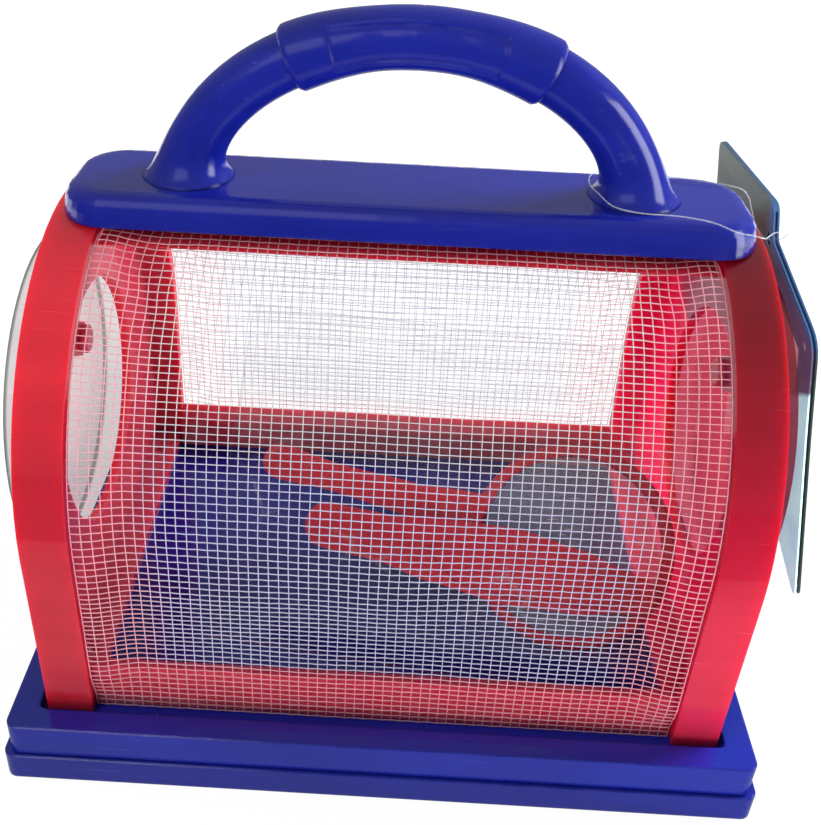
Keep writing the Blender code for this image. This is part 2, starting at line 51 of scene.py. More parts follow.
cam = bpy.data.cameras.new("camera")
cam.sensor_fit = "HORIZONTAL"
cam.sensor_width = 36.0
cam.lens = 36.0 * FOCAL / SIZE[0]
cam.shift_x = (SIZE[0] / 2 - CENTRE[0]) / SIZE[0]
cam.shift_y = (CENTRE[1] - SIZE[1] / 2) / SIZE[0]
cam.clip_start = 0.01
camera = bpy.data.objects.new("camera", cam)
scene.collection.objects.link(camera)
camera.matrix_world = Matrix.Translation(Vector((-2.1314, -261.758, 250.144)) * MM) @ Matrix((RIGHT, -DOWN, -AHEAD)).transposed().to_4x4()
scene.camera = camera


# ------------------------------------------------------------------ node helpers
class Look:
    """A material under construction: a node tree with short calls for the nodes used here."""

    def __init__(self, name):
        self.mat = bpy.data.materials.new(name)
        self.mat.use_nodes = True
        self.tree = self.mat.node_tree
        self.out = self.tree.nodes["Material Output"]
        self.shader = self.tree.nodes["Principled BSDF"]

    def put(self, socket, value):
        if isinstance(value, bpy.types.NodeSocket):
            self.tree.links.new(value, socket)
        else:
            if socket.type == "RGBA" and len(value) == 3:
                value = (*value, 1.0)
            socket.default_value = value

    def set(self, **values):
        for key, value in values.items():
            self.put(self.shader.inputs[key.replace("_", " ")], value)
        return self

    def add(self, kind, inputs, **props):
        node = self.tree.nodes.new(kind)
        for key, value in props.items():
            setattr(node, key, value)
        for key, value in inputs.items():
            self.put(node.inputs[key], value)
        return node

    def place(self, scale=(1, 1, 1), turn=(0, 0, 0), shift=(0, 0, 0)):
        where = self.add("ShaderNodeTexCoord", {}).outputs["Object"]
        return self.add("ShaderNodeMapping", {"Vector": where, "Scale": scale, "Rotation": turn, "Location": shift}).outputs[0]

    def axis(self, vector, letter):
        return self.add("ShaderNodeSeparateXYZ", {0: vector}).outputs[letter]

    def dot(self, vector, way):
        return self.add("ShaderNodeVectorMath", {0: vector, 1: way}, operation="DOT_PRODUCT").outputs["Value"]

    def noise(self, vector, scale, detail=2.0, rough=0.5, warp=0.0):
        return self.add("ShaderNodeTexNoise", {"Vector": vector, "Scale": scale, "Detail": detail, "Roughness": rough, "Distortion": warp}).outputs[0]

    def cells(self, vector, scale, feature="F1"):
        return self.add("ShaderNodeTexVoronoi", {"Vector": vector, "Scale": scale}, feature=feature).outputs["Distance"]

    def band(self, value, a, b, lo=0.0, hi=1.0, smooth=True):
        """value from a..b is turned into lo..hi, held at the ends."""
        return self.add("ShaderNodeMapRange", {0: value, 1: a, 2: b, 3: lo, 4: hi}, interpolation_type="SMOOTHSTEP" if smooth else "LINEAR").outputs[0]

    def calc(self, operation, a, b=0.0, c=0.0, clamp=False):
        return self.add("ShaderNodeMath", {0: a, 1: b, 2: c}, operation=operation, use_clamp=clamp).outputs[0]

    def blend(self, amount, a, b, mode="MIX"):
        node = self.tree.nodes.new("ShaderNodeMix")
        node.data_type = "RGBA"
        node.blend_type = mode
        self.put(node.inputs[0], amount)
        self.put(node.inputs[6], a)
        self.put(node.inputs[7], b)
        return node.outputs[2]

    def bump(self, height, strength, distance, normal=None):
        inputs = {"Height": height, "Strength": strength, "Distance": distance}
        if normal is not None:
            inputs["Normal"] = normal
        return self.add("ShaderNodeBump", inputs).outputs[0]

    def scratches(self, amount=0.72, turn=0.4, size=1.0):
        """Sparse hairlines: long thin streaks of noise, in two directions, broken up by a broad mask."""
        lines = []
        for k, spin in enumerate((turn, turn + 1.25)):
            where = self.place(scale=(26 * size, 1900 * size, 900 * size), turn=(spin, spin * 0.7, spin * 1.9), shift=(k * 3.1, k, 0))
            streak = self.band(self.noise(where, 1.0, 1.0), amount, amount + 0.05)
            lines.append(streak)
        both = self.calc("MAXIMUM", lines[0], lines[1])
        patch = self.band(self.noise(self.place(), 36, 1.0), 0.48, 0.66)
        return self.calc("MULTIPLY", both, patch)

    def facing(self, low=0.045, high=0.85, power=5.0):
        """The mirror share of a clear skin, the same from both of its sides."""
        side = self.add("ShaderNodeLayerWeight", {"Blend": 0.5}).outputs["Facing"]
        return self.calc("MULTIPLY_ADD", self.calc("POWER", side, power), high, low)


def moulded(name, colour, deep, pale, rough, scatter=None, edge=0.45, peel=0.35, wear=0.10, inside=None, shading=None):
    """Glossy moulded plastic: cloudy pigment, flow marks, orange peel, fine grain, hairlines and edges rubbed paler."""
    g = Look(name)
    where = g.place()
    cloud = g.noise(where, 19, 3.0, 0.55)
    flow = g.noise(g.place(scale=(16, 60, 130), turn=(0.25, 0.1, 0.3)), 1.0, 3.0, 0.5, 0.6)
    tone = g.calc("ADD", g.calc("MULTIPLY", cloud, 0.62), g.calc("MULTIPLY", flow, 0.38))
    base = g.blend(g.band(tone, 0.36, 0.64), deep, colour)
    if inside:
        # painted shade: the floor of the cage is darker between the end frames and the rails, standing in for the shade
        # of the nets and cap
        size, shade = inside
        room = [g.band(g.calc("ABSOLUTE", g.axis(where, letter)), half + 0.0008, half - 0.0008) for letter, half in zip("XY", size)]
        base = g.blend(g.calc("MULTIPLY", room[0], room[1]), base, g.blend(g.band(tone, 0.36, 0.64), tuple(c * 0.8 for c in shade), shade))
    # the shading function paints light or shade into the colour by position
    if shading:
        base = shading(g, where, base)
    specks = g.band(g.cells(where, 420), 0.10, 0.03)
    speck_mask = g.band(g.noise(where, 55, 2.0), 0.58, 0.70)
    dust = g.calc("MULTIPLY", specks, speck_mask)
    hair = g.scratches(0.70)
    soft = g.add("ShaderNodeBevel", {"Radius": edge * MM}, samples=4).outputs[0]
    plain = g.add("ShaderNodeNewGeometry", {}).outputs["Normal"]
    corner = g.calc("SUBTRACT", 1.0, g.add("ShaderNodeVectorMath", {0: soft, 1: plain}, operation="DOT_PRODUCT").outputs["Value"])
    worn = g.calc("MULTIPLY", g.band(corner, 0.015, 0.16), g.band(g.noise(where, 130, 3.0), 0.35, 0.65))
    base = g.blend(g.calc("MULTIPLY", worn, wear * 2.2), base, pale)
    base = g.blend(g.calc("MULTIPLY", hair, wear), base, pale)
    base = g.blend(g.calc("MULTIPLY", dust, wear * 1.6), base, (0.75, 0.74, 0.76))
    grain = g.noise(where, 1600, 2.0)
    shine = g.calc("MULTIPLY_ADD", grain, 0.07, rough - 0.035)
    shine = g.calc("MULTIPLY_ADD", g.band(cloud, 0.3, 0.75), 0.06, shine)
    shine = g.calc("MULTIPLY_ADD", hair, 0.16, shine)
    shine = g.calc("MULTIPLY_ADD", dust, 0.22, shine, clamp=True)
    waves = g.noise(where, 150, 2.0, 0.4)
    normal = g.bump(waves, peel, 0.00035, soft)
    normal = g.bump(grain, 0.05, 0.00006, normal)
    normal = g.bump(hair, 0.10, 0.00004, normal)
    g.set(Base_Color=base, Roughness=shine, Normal=normal, IOR=1.46)
    if scatter:
        g.set(Subsurface_Weight=scatter[0], Subsurface_Radius=scatter[1], Subsurface_Scale=scatter[2])
    return g.mat


BLUE = moulded("blue_plastic", (0.0062, 0.0120, 0.235), (0.0045, 0.0090, 0.190), (0.09, 0.12, 0.52), 0.11, edge=1.1)
# The tray's blue is a lighter copy of the blue plastic, painted light, and it carries painted shade on the cage floor.
TRAY_BLUE_PAINTED_LIGHT_AND_SHADE = moulded("tray_blue_plastic_painted_light_and_shade", (0.0078, 0.0160, 0.285), (0.0057, 0.0120, 0.230), (0.09, 0.12, 0.52), 0.11, edge=1.1,
                    inside=((0.0774, 0.0566), (0.0045, 0.0072, 0.165)))


def above_tag_shadow_line(g, where, height):
    """1 above a slanting line across the right end: the edge of the painted shadow of the tag that hangs outside it."""
    return g.band(g.calc("MULTIPLY_ADD", g.axis(where, "Y"), -0.392, g.axis(where, "Z")), height - 0.0011, height + 0.0011)


def inside_veil_and_strip_shade(g, where, base):
    """Painted light: the faces inside the cage get a paler, greyer red that stands in for a veil of light; painted
    shade darkens the front strips towards the bottom.
    """
    x, y, z = (g.axis(where, letter) for letter in "XYZ")
    high = g.calc("MAXIMUM", g.calc("SUBTRACT", z, 0.0696), 0.0)
    off = g.calc("SQRT", g.calc("ADD", g.calc("MULTIPLY", y, y), g.calc("MULTIPLY", high, high)))
    # painted light: a paler, greyer red on the faces inside the cage
    base = g.blend(g.calc("MULTIPLY", g.band(off, 0.0636, 0.0630), g.band(g.calc("ABSOLUTE", x), 0.0886, 0.0878)), base, (0.470, 0.052, 0.082))
    # painted shade: the front strips are darker towards the bottom
    strip = g.calc("MULTIPLY", g.calc("MULTIPLY", g.band(off, 0.0636, 0.0642), g.band(z, 0.118, 0.080)), g.band(y, 0.0, -0.01))
    return g.blend(strip, base, g.blend(1.0, base, (0.76, 0.92, 0.92), "MULTIPLY"))


def right_end(g, where, base):
    """The right end frame: painted shadow of the hanging tag darkens its wall above a slanting line, and painted shade
    darkens its front strip towards the top.
    """
    x, y, z = (g.axis(where, letter) for letter in "XYZ")
    high = g.calc("MAXIMUM", g.calc("SUBTRACT", z, 0.0696), 0.0)
    off = g.calc("SQRT", g.calc("ADD", g.calc("MULTIPLY", y, y), g.calc("MULTIPLY", high, high)))
    wall = g.calc("MULTIPLY", g.band(off, 0.0615, 0.0605), g.band(x, 0.0886, 0.0878))
    # painted shadow of the hanging tag on the wall
    base = g.blend(g.calc("MULTIPLY", g.calc("MULTIPLY", wall, above_tag_shadow_line(g, where, 0.0801)), 0.9), base, (0.20, 0.075, 0.090))
    # painted shade: the front strip is darker towards the top
    strip = g.calc("MULTIPLY", g.calc("MULTIPLY", g.band(off, 0.0605, 0.0615), g.band(z, 0.045, 0.125)), g.band(y, 0.01, -0.01))
    return g.blend(strip, base, g.blend(1.0, base, (0.60, 0.14, 0.30), "MULTIPLY"))


# The red plastic carries painted light on the faces inside the cage and painted shade on the lower front strips.
RED = moulded("red_plastic", (0.650, 0.022, 0.046), (0.560, 0.016, 0.035), (0.80, 0.17, 0.19), 0.14,
              scatter=(1.0, (1.0, 0.045, 0.11), 0.010), shading=inside_veil_and_strip_shade)
# A copy of the red plastic for the right end frame, carrying painted shadow and painted shade.
RED_RIGHT_PAINTED_SHADE = moulded("red_plastic_right_painted_shade", (0.640, 0.024, 0.072), (0.560, 0.018, 0.058), (0.80, 0.17, 0.19), 0.14,
                    scatter=(1.0, (1.0, 0.045, 0.11), 0.010), shading=right_end)
TOOL_RED = moulded("tool_red_plastic", (0.520, 0.020, 0.040), (0.430, 0.013, 0.028), (0.72, 0.16, 0.17), 0.24,
                   scatter=(0.20, (1.0, 0.06, 0.10), 0.002))


def clear_skin(name, tint, haze, rough, mist_scale, wave, wave_size, gloss_low=0.05, patches=0.5, smear=None):
    """Clear plastic seen through: a mirror share by angle, a milky haze that varies, and a wavy surface."""
    g = Look(name)
    where = g.place()
    mist = g.noise(where, mist_scale, 4.0, 0.6, 0.4)
    hair = g.scratches(0.66, 0.9, 0.8)
    uneven = g.noise(where, wave_size, 3.0, 0.55)
    normal = g.bump(uneven, wave, 0.0006)
    normal = g.bump(hair, 0.08, 0.00005, normal)
    milky = g.calc("MULTIPLY_ADD", g.band(mist, 0.3, 0.7), haze * patches, haze * (1 - patches / 2))
    milky = g.calc("MULTIPLY_ADD", hair, 0.22, milky, clamp=True)
    g.set(Base_Color=g.blend(g.band(mist, 0.35, 0.65), tint, tuple(c * 0.94 for c in tint)), Roughness=0.45, IOR=1.45, Normal=normal)
    through = g.add("ShaderNodeBsdfTransparent", {"Color": tint})
    mirror = g.add("ShaderNodeBsdfGlossy", {"Color": (1, 1, 1), "Roughness": rough, "Normal": normal})
    glassy = g.add("ShaderNodeMixShader", {0: g.facing(gloss_low)})
    g.tree.links.new(through.outputs[0], glassy.inputs[1])
    g.tree.links.new(mirror.outputs[0], glassy.inputs[2])
    last = g.add("ShaderNodeMixShader", {0: milky})
    g.tree.links.new(glassy.outputs[0], last.inputs[1])
    g.tree.links.new(g.shader.outputs[0], last.inputs[2])
    g.tree.links.new(last.outputs[0], g.out.inputs["Surface"])
    return g.mat


LENS = clear_skin("lens_plastic", (0.94, 0.955, 0.97), 0.06, 0.03, 45, 0.06, 40)
NYLON = clear_skin("loop_nylon", (0.93, 0.95, 0.97), 0.20, 0.08, 400, 0.15, 900, gloss_low=0.08)


def door_look(name, tinted=False):
    """A clear door: a grey outer edge, painted shade that makes its lower part darker and bluish, mist and hairlines.
    The tinted one is red all over.
    """
    g = Look(name)
    where = g.place()
    flat = g.add("ShaderNodeVectorMath", {0: where, 1: (0.0, 1.0, 1.0)}, operation="MULTIPLY").outputs[0]
    off = g.add("ShaderNodeVectorMath", {0: flat, 1: (0.0, 0.0, 0.0752)}, operation="DISTANCE").outputs["Value"]
    mist = g.noise(where, 30, 4.0, 0.6, 0.4)
    hair = g.scratches(0.66, 0.9, 0.8)
    rim = g.band(off, 0.0451, 0.0461)
    if tinted:
        tint = g.blend(g.band(mist, 0.3, 0.7), (0.72, 0.245, 0.325), (0.76, 0.270, 0.35))
    else:
        tint = g.blend(rim, (0.90, 0.905, 0.905), (0.85, 0.80, 0.795))
        out = g.calc("ABSOLUTE", g.axis(where, "X"))
        lines = g.calc("MULTIPLY", rim, g.calc("MAXIMUM", g.band(out, 0.0974, 0.0980), g.band(out, 0.0916, 0.0911)))
        tint = g.blend(lines, tint, (0.36, 0.39, 0.365))
        # painted shade: the lower part of the clear door is darker and bluish
        tint = g.blend(g.calc("MULTIPLY", g.band(g.axis(where, "Z"), 0.075, 0.040), 0.35), tint, g.blend(1.0, tint, (0.72, 0.73, 0.77), "MULTIPLY"))
    normal = g.bump(g.noise(where, 60, 3.0, 0.55), 0.16, 0.0006)
    normal = g.bump(hair, 0.08, 0.00005, normal)
    milky = g.calc("MULTIPLY_ADD", g.band(mist, 0.3, 0.7), 0.03, 0.015)
    milky = g.calc("MULTIPLY_ADD", hair, 0.12, milky, clamp=True)
    g.set(Base_Color=tint, Roughness=0.4, IOR=1.45, Normal=normal)
    through = g.add("ShaderNodeBsdfTransparent", {"Color": tint})
    mirror = g.add("ShaderNodeBsdfGlossy", {"Color": (1, 1, 1), "Roughness": 0.06, "Normal": normal})
    glassy = g.add("ShaderNodeMixShader", {0: g.facing(0.045)})
    g.tree.links.new(through.outputs[0], glassy.inputs[1])
    g.tree.links.new(mirror.outputs[0], glassy.inputs[2])
    last = g.add("ShaderNodeMixShader", {0: milky})
    g.tree.links.new(glassy.outputs[0], last.inputs[1])
    g.tree.links.new(g.shader.outputs[0], last.inputs[2])
    g.tree.links.new(last.outputs[0], g.out.inputs["Surface"])
    return g.mat


CLEAR = door_look("clear_plastic")
RED_DOOR = door_look("red_door_plastic", tinted=True)

TOOL_YAW, TOOL_LEAN = math.radians(8.0), math.radians(50.0)
TOOL_FOOT = np.array((47.75, -50.92, 15.3))
S_DIR = np.array((math.cos(TOOL_YAW), -math.sin(TOOL_YAW), 0.0))
T_DIR = np.array((math.sin(TOOL_YAW) * math.cos(TOOL_LEAN), math.cos(TOOL_YAW) * math.cos(TOOL_LEAN), math.sin(TOOL_LEAN)))
N_DIR = np.cross(S_DIR, T_DIR)


def film_look():
    """Thin clear film: nearly invisible where it lies smooth, milky where it is crushed round the tools, with white crease lines."""
    g = Look("bag_film")
    where = g.place()
    local = g.add("ShaderNodeVectorMath", {0: where, 1: tuple(TOOL_FOOT * MM)}, operation="SUBTRACT").outputs[0]
    s = g.calc("MULTIPLY", g.dot(local, tuple(S_DIR)), 1000.0)
    t = g.calc("MULTIPLY", g.dot(local, tuple(T_DIR)), 1000.0)
    mist = g.noise(where, 48, 4.0, 0.6, 0.5)
    lens = g.calc("MULTIPLY", g.band(s, -44.0, -14.0), g.calc("MULTIPLY", g.band(t, 4.0, 16.0), g.band(t, 86.0, 66.0)))
    left = g.calc("MULTIPLY", g.band(s, -78.0, -92.0), g.calc("MULTIPLY", g.band(t, 22.0, 32.0), g.band(t, 60.0, 46.0)))
    shafts = g.calc("MULTIPLY", g.band(t, 18.0, 30.0), g.band(t, 84.0, 60.0))
    crushed = g.calc("MAXIMUM", g.calc("MAXIMUM", lens, g.calc("MULTIPLY", left, 0.8)), g.calc("MULTIPLY", shafts, 0.45))
    crushed = g.calc("MULTIPLY_ADD", crushed, 0.9, 0.06)
    crease = g.band(g.cells(g.place(turn=(0.3, 0.2, 0.5)), 62, "DISTANCE_TO_EDGE"), 0.05, 0.0)
    crease = g.calc("MULTIPLY", crease, g.band(mist, 0.50, 0.68))
    over = g.band(g.calc("SUBTRACT", t, g.calc("MULTIPLY_ADD", s, -0.14, 44.0)), 0.0, 5.0)
    over = g.calc("MULTIPLY", over, g.band(t, 84.0, 66.0))
    milky = g.calc("MULTIPLY", crushed, g.band(mist, 0.25, 0.75, 0.003, 0.018))
    milky = g.calc("MULTIPLY_ADD", over, g.band(mist, 0.25, 0.75, 0.012, 0.040), milky)
    milky = g.calc("MULTIPLY_ADD", g.calc("MULTIPLY", crease, crushed), 0.22, milky, clamp=True)
    uneven = g.noise(where, 110, 3.0, 0.55)
    normal = g.bump(uneven, 0.18, 0.0006)
    g.set(Base_Color=(0.76, 0.75, 0.82), Roughness=0.5, IOR=1.45, Normal=normal)
    through = g.add("ShaderNodeBsdfTransparent", {"Color": (0.975, 0.965, 0.962)})
    mirror = g.add("ShaderNodeBsdfGlossy", {"Color": (1, 1, 1), "Roughness": 0.11, "Normal": normal})
    glassy = g.add("ShaderNodeMixShader", {0: g.facing(0.008, 0.35)})
    g.tree.links.new(through.outputs[0], glassy.inputs[1])
    g.tree.links.new(mirror.outputs[0], glassy.inputs[2])
    last = g.add("ShaderNodeMixShader", {0: milky})
    g.tree.links.new(glassy.outputs[0], last.inputs[1])
    g.tree.links.new(g.shader.outputs[0], last.inputs[2])
    g.tree.links.new(last.outputs[0], g.out.inputs["Surface"])
    return g.mat


FILM = film_look()


def thread_look():
    g = Look("net_thread")
    where = g.place()
    fibre = g.noise(g.place(scale=(2600, 2600, 900)), 1.0, 2.0)
    cloud = g.noise(where, 24, 2.0)
    base = g.blend(g.band(cloud, 0.3, 0.7), (0.80, 0.785, 0.79), (0.87, 0.86, 0.865))
    base = g.blend(g.calc("MULTIPLY", g.band(fibre, 0.45, 0.75), 0.35), base, (0.62, 0.60, 0.61))
    x, y, z = (g.axis(where, letter) for letter in "XYZ")
    # painted light: threads near the blue tray are tinted lavender, standing in for light bounced off the blue
    blue_bounce_light = g.band(z, 0.112, 0.084)
    base = g.blend(g.calc("MULTIPLY", blue_bounce_light, 0.58), base, (0.56, 0.58, 0.96))
    # painted light: threads near the rails and end frames are tinted pink, standing in for light bounced off the red
    rails = g.calc("MAXIMUM", g.band(z, 0.0355, 0.0315), g.band(z, 0.1300, 0.1325))
    ends = g.band(g.calc("ABSOLUTE", x), 0.0545, 0.0665)
    red_bounce_light = g.calc("MAXIMUM", ends, rails)
    base = g.blend(g.calc("MULTIPLY", red_bounce_light, 0.9), base, (1.0, 0.46, 0.54))
    # painted shade: threads at the foot of the net are darker and pinkish
    low = g.band(z, 0.0225, 0.0155)
    base = g.blend(g.calc("MULTIPLY", low, 0.45), base, (0.42, 0.22, 0.24))
    g.set(Base_Color=base, Roughness=g.calc("MULTIPLY_ADD", fibre, 0.25, 0.36), Normal=g.bump(fibre, 0.4, 0.00008), IOR=1.5,
          Sheen_Weight=0.12, Sheen_Roughness=0.4)
    lit = g.add("ShaderNodeBsdfTranslucent", {"Color": base})
    both = g.add("ShaderNodeMixShader", {0: 0.16})
    g.tree.links.new(g.shader.outputs[0], both.inputs[1])
    g.tree.links.new(lit.outputs[0], both.inputs[2])
    bare = g.add("ShaderNodeBsdfTransparent", {"Color": (1, 1, 1)})
    thin = g.calc("MULTIPLY_ADD", g.band(y, 0.004, 0.010), 0.14, g.band(fibre, 0.2, 0.8, 0.36, 0.22))
    last = g.add("ShaderNodeMixShader", {0: thin})
    g.tree.links.new(both.outputs[0], last.inputs[1])
    g.tree.links.new(bare.outputs[0], last.inputs[2])
    g.tree.links.new(last.outputs[0], g.out.inputs["Surface"])
    return g.mat


THREAD = thread_look()


def steel_look():
    g = Look("screw_steel")
    where = g.place()
    brushed = g.noise(g.place(scale=(60, 60, 3000)), 1.0, 3.0)
    blotch = g.noise(where, 500, 3.0)
    g.set(Base_Color=g.blend(g.band(blotch, 0.35, 0.7), (0.62, 0.62, 0.64), (0.46, 0.46, 0.49)), Metallic=1.0,
          Roughness=g.calc("MULTIPLY_ADD", brushed, 0.25, 0.22), Normal=g.bump(brushed, 0.2, 0.00003))
    return g.mat


STEEL = steel_look()

# the tag's own plane, as in the frame: u runs along the card to the rear, v up it
TAG_HOLE = Vector((98.0, 11.8, 128.6))
TAG_U = Vector((-0.06, 1.0, 0.0)).normalized()
TAG_V = Vector((-0.135, 0.0, 1.0))
TAG_V = (TAG_V - TAG_U * TAG_V.dot(TAG_U)).normalized()
TAG_N = TAG_U.cross(TAG_V)


def card_look():
    """Printed card: bands of colour up the card, a pale inner sheet, pale fibres and pale rubbed patches."""
    g = Look("tag_card")
    where = g.place()
    from_hole = g.add("ShaderNodeVectorMath", {0: where, 1: tuple(TAG_HOLE * MM)}, operation="SUBTRACT").outputs[0]
    u = g.calc("MULTIPLY", g.dot(from_hole, tuple(TAG_U)), 1000.0)
    v = g.calc("MULTIPLY", g.dot(from_hole, tuple(TAG_V)), 1000.0)
    n = g.calc("MULTIPLY", g.dot(from_hole, tuple(TAG_N)), 1000.0)
    blur = g.noise(where, 90, 3.0)
    wob = g.calc("MULTIPLY_ADD", blur, 3.0, -1.5)
    vv = g.calc("ADD", v, wob)
    base = g.blend(g.band(vv, -8.0, 2.0), (0.066, 0.044, 0.105), (0.030, 0.050, 0.050))
    base = g.blend(g.calc("MULTIPLY", g.band(vv, -1.5, 0.5), g.band(vv, 5.0, 3.0)), base, (0.020, 0.026, 0.028))
    pale = g.blend(g.band(blur, 0.3, 0.7), (0.40, 0.68, 0.80), (0.50, 0.80, 0.84))
    base = g.blend(g.band(g.calc("MULTIPLY_ADD", u, 0.55, vv), -46.0, -48.5), base, pale)
    from_top = g.calc("MULTIPLY", g.calc("SUBTRACT", g.calc("MULTIPLY_ADD", u, 0.339, 2.2), v), 0.947)
    from_side = g.calc("ADD", u, g.calc("MULTIPLY_ADD", v, -0.13, 36.4))
    inner = g.calc("MINIMUM", from_top, from_side)
    patch = g.calc("MULTIPLY", g.band(inner, 8.6, 9.4), g.calc("MULTIPLY", g.band(v, -4.0, -8.0), g.band(g.calc("MULTIPLY_ADD", u, 0.55, v), -48.0, -46.0)))
    base = g.blend(patch, base, g.blend(g.band(blur, 0.3, 0.7), (0.44, 0.205, 0.240), (0.50, 0.25, 0.285)))
    margin = g.calc("MULTIPLY", g.band(from_top, 2.6, 2.0), g.band(u, 3.0, 0.0))
    base = g.blend(margin, base, (0.024, 0.066, 0.165))
    fibres = g.noise(g.place(scale=(900, 900, 900)), 1.0, 3.0, 0.7)
    base = g.blend(g.calc("MULTIPLY", g.band(fibres, 0.5, 0.8), 0.10), base, (0.75, 0.74, 0.72))
    outside = g.band(n, 0.70, 0.95)
    base = g.blend(g.calc("MULTIPLY", outside, 1.0), base, g.blend(g.band(vv, -17.0, -9.0), (0.020, 0.032, 0.028), (0.022, 0.062, 0.155)))
    rub = g.band(g.noise(where, 160, 3.0, 0.6), 0.66, 0.78)
    base = g.blend(g.calc("MULTIPLY", rub, 0.28), base, (0.72, 0.73, 0.74))
    g.set(Base_Color=base, Roughness=g.calc("MULTIPLY_ADD", fibres, 0.20, 0.30), Normal=g.bump(fibres, 0.12, 0.00008), IOR=1.48, Coat_Weight=0.15, Coat_Roughness=0.2)
    return g.mat


CARD = card_look()


# ------------------------------------------------------------------ mesh helpers
def smooth01(x):
    x = np.clip(x, 0.0, 1.0)
    return x * x * (3 - 2 * x)


def solid(name, verts, faces, look, body, stands_for=(), shade=40):
    mesh = bpy.data.meshes.new(name)
    mesh.from_pydata([tuple(v) for v in verts], [], [tuple(f) for f in faces])
    mesh.update()
    obj = bpy.data.objects.new(name, mesh)
    scene.collection.objects.link(obj)
    mesh.materials.append(look)
    mesh.shade_smooth()
    if shade:
        mesh.set_sharp_from_angle(angle=math.radians(shade))
    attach(obj, body)
    if stands_for:
        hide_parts(*stands_for)
    return obj


def dress(name, look):
    obj = nodes[name]
    obj.data.materials.clear()
    obj.data.materials.append(look)
    return obj


def soften(name, width, segments=2, angle=32):
    """Rounds the sharp edges of a carried-over node with real facets."""
    obj = nodes[name]
    weld = obj.modifiers.new("weld", "WELD")
    weld.merge_threshold = 0.00001
    flat = obj.modifiers.new("flat", "DECIMATE")
    flat.decimate_type = "DISSOLVE"
    flat.angle_limit = math.radians(0.6)
    edge = obj.modifiers.new("edge", "BEVEL")
    edge.width = width * MM
    edge.segments = segments
    edge.limit_method = "ANGLE"
    edge.angle_limit = math.radians(angle)
    edge.use_clamp_overlap = True
    edge.harden_normals = False
    return obj


# ------------------------------------------------------------------ plastics carried over
for name in ("base_plinth", "roof_cap"):
    dress(name, BLUE)
dress("base_tray", TRAY_BLUE_PAINTED_LIGHT_AND_SHADE)
for name in ("end_frame_left", "end_frame_right", "bottom_rail_front", "bottom_rail_rear", "top_rail_front", "top_rail_rear",
             "door_pin_left", "door_pin_right"):
    dress(name, RED)
for name in ("magnifier_frame", "scoop"):
    dress(name, TOOL_RED)
dress("end_frame_right", RED_RIGHT_PAINTED_SHADE)
soften("base_plinth", 1.2, 3)
soften("base_tray", 1.2, 3)
dress("door_left", CLEAR)
dress("door_right", RED_DOOR)
dress("magnifier_lens", LENS)
dress("hang_tag", CARD)
for name in nodes:
    if "screw" in name:
        dress(name, STEEL)


# ------------------------------------------------------------------ nets: every thread is a tube
NET_R, NET_Z, NET_X, NET_FOOT, NET_END_Y = 63.85, 69.6, 77.5, 15.35, 6.6
THREAD_R, OVER = 0.15, 0.08
PITCH = 2.51


# spacing of the rows up the net, and how far they have slipped where the net sags
ROW_AT, ROW_STEP = (0, 30, 44, 56, 72, 96, 112, 128, 150), (1.80, 1.75, 1.85, 2.05, 1.95, 1.70, 1.85, 2.3, 2.6)
SLIP_AT, SLIP = (0, 10, 22, 33, 44, 58, 75), (0.0, 0.7, 1.3, -1.0, -3.3, -1.8, 0.0)


def field(points, size, seed):
    """Smooth noise in -1..1 at many points."""
    return np.array([noise.noise(Vector((p[0] / size + seed, p[1] / size - seed * 0.7, seed * 1.3))) for p in points])


def net_rows():
    """Heights along the net from its foot, the rows closer together near the foot."""
    straight = NET_Z - NET_FOOT
    arc = NET_R * math.acos(NET_END_Y / NET_R)
    total = straight + arc
    rows, u = [0.25], 0.25
    while True:
        u += float(np.interp(u, ROW_AT, ROW_STEP))
        if u > total - 0.2:
            return rows, total
        rows.append(u)


def net_point(u):
    """Outward distance and height at a length u up the net, with its outward normal and upward tangent."""
    straight = NET_Z - NET_FOOT
    bend = np.clip((u - straight) / NET_R, 0.0, None)
    y = np.where(u < straight, NET_R, NET_R * np.cos(bend))
    z = np.where(u < straight, NET_FOOT + u, NET_Z + NET_R * np.sin(bend))
    return y, z, np.cos(bend), np.sin(bend)


